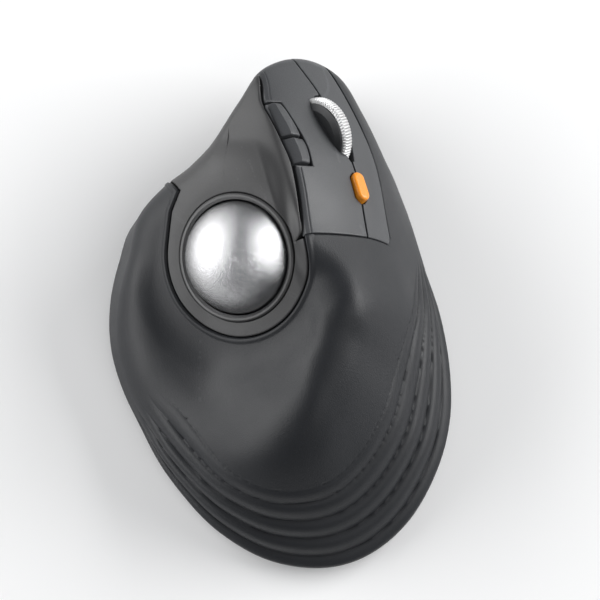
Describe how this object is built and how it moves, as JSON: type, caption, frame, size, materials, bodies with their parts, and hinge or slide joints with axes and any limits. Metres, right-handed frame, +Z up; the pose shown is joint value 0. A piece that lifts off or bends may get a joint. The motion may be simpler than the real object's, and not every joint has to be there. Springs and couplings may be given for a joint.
{
  "type": "trackball mouse",
  "caption": "Right-handed trackball mouse: sculpted palm shell with a terraced skirt, silver thumb ball in its ring, finger buttons, side keys and a ribbed scroll wheel.",
  "frame": {"origin": "on the desk under the middle of the mouse's overall box", "axes": "+Z up, +Y towards the finger end, +X towards the user's right"},
  "size_m": [0.0999, 0.1477, 0.0563],
  "materials": {
    "soft_touch": "matte",
    "panel_plastic": "matte",
    "button_plastic": "satin",
    "ring_plastic": "gloss",
    "ball_metal": "polished",
    "dpi_orange": "gloss",
    "tread_metal": "satin",
    "hub_rubber": "matte",
    "steel": "satin",
    "inner_plastic": "matte",
    "case_plastic": "matte",
    "foot_rubber": "matte",
    "board_green": "satin",
    "switch_plastic": "satin",
    "plunger_plastic": "satin",
    "chip_black": "matte",
    "lens_clear": "gloss",
    "battery_wrap": "satin",
    "wire_jacket": "satin",
    "ribbon_film": "satin",
    "ceramic": "gloss"
  },
  "bodies": {
    "chassis": {"palm_shell": "soft_touch", "thumb_panel": "panel_plastic", "ball_ring": "ring_plastic", "ball_cup": "inner_plastic", "support_bearings": "ceramic", "sensor_lens": "lens_clear", "motion_sensor": "chip_black", "sensor_board": "board_green", "bottom_case": "case_plastic", "rubber_feet": "foot_rubber", "case_screws": "steel", "main_board": "board_green", "board_screws": "steel", "control_chips": "chip_black", "usb_c_port": "steel", "battery": "battery_wrap", "battery_leads": "wire_jacket", "board_ribbon": "ribbon_film", "button_frame": "inner_plastic", "button_board": "board_green", "frame_screws": "steel", "button_pin": "steel", "left_micro_switch": "switch_plastic", "right_micro_switch": "switch_plastic", "forward_switch": "switch_plastic", "back_switch": "switch_plastic", "dpi_switch": "switch_plastic", "wheel_switch": "switch_plastic", "pairing_switch": "switch_plastic", "power_switch": "switch_plastic", "switch_board": "board_green"},
    "ball": {"trackball": "ball_metal"},
    "left_click_body": {"left_button": "button_plastic", "left_plunger": "plunger_plastic"},
    "right_click_body": {"right_button": "button_plastic", "right_plunger": "plunger_plastic"},
    "forward_body": {"forward_button": "button_plastic", "forward_plunger": "plunger_plastic"},
    "back_body": {"back_button": "button_plastic", "back_plunger": "plunger_plastic"},
    "dpi_body": {"dpi_button": "dpi_orange", "dpi_plunger": "plunger_plastic"},
    "carrier_body": {"wheel_carrier": "inner_plastic", "scroll_encoder": "switch_plastic", "wheel_plunger": "plunger_plastic"},
    "wheel_body": {"scroll_tyre": "tread_metal", "scroll_hub": "hub_rubber", "wheel_axle": "steel"},
    "power_body": {"power_knob": "switch_plastic"},
    "pairing_body": {"pairing_button": "switch_plastic", "pairing_plunger": "plunger_plastic"}
  },
  "joints": [
    {"name": "trackball_roll", "type": "hinge", "parent": "chassis", "child": "ball", "pos_m": [-0.0048, 0.0165, 0.036], "axis": [-0.5142, -0.1721, 0.8403], "continuous": true},
    {"name": "left_click", "type": "hinge", "parent": "chassis", "child": "left_click_body", "pos_m": [0.00935, 0.0095, 0.04943], "axis": [-0.8323, 0.1241, 0.5402], "range_deg": [0, 0.9], "stiffness_Nm_per_rad": 0.02},
    {"name": "right_click", "type": "hinge", "parent": "chassis", "child": "right_click_body", "pos_m": [0.00935, 0.0095, 0.04943], "axis": [-0.8323, 0.1241, 0.5402], "range_deg": [0, 0.9], "stiffness_Nm_per_rad": 0.02},
    {"name": "forward_click", "type": "slide", "parent": "chassis", "child": "forward_body", "axis": [-0.5532, -0.121, -0.8242], "range_m": [0, 0.0005], "stiffness_N_per_m": 100},
    {"name": "back_click", "type": "slide", "parent": "chassis", "child": "back_body", "axis": [-0.5532, -0.121, -0.8242], "range_m": [0, 0.0005], "stiffness_N_per_m": 100},
    {"name": "dpi_click", "type": "slide", "parent": "chassis", "child": "dpi_body", "axis": [-0.5532, -0.121, -0.8242], "range_m": [0, 0.0005], "stiffness_N_per_m": 100},
    {"name": "wheel_click", "type": "slide", "parent": "chassis", "child": "carrier_body", "axis": [-0.5532, -0.121, -0.8242], "range_m": [0, 0.0005], "stiffness_N_per_m": 100},
    {"name": "wheel_spin", "type": "hinge", "parent": "carrier_body", "child": "wheel_body", "pos_m": [0.02783, 0.04693, 0.03433], "axis": [0.7952, 0.2186, -0.5656], "continuous": true},
    {"name": "power_slide", "type": "slide", "parent": "chassis", "child": "power_body", "axis": [1, 0, 0], "range_m": [0, 0.003]},
    {"name": "pairing_click", "type": "slide", "parent": "chassis", "child": "pairing_body", "axis": [0, 0, 1], "range_m": [0, 0.0004], "stiffness_N_per_m": 100}
  ]
}
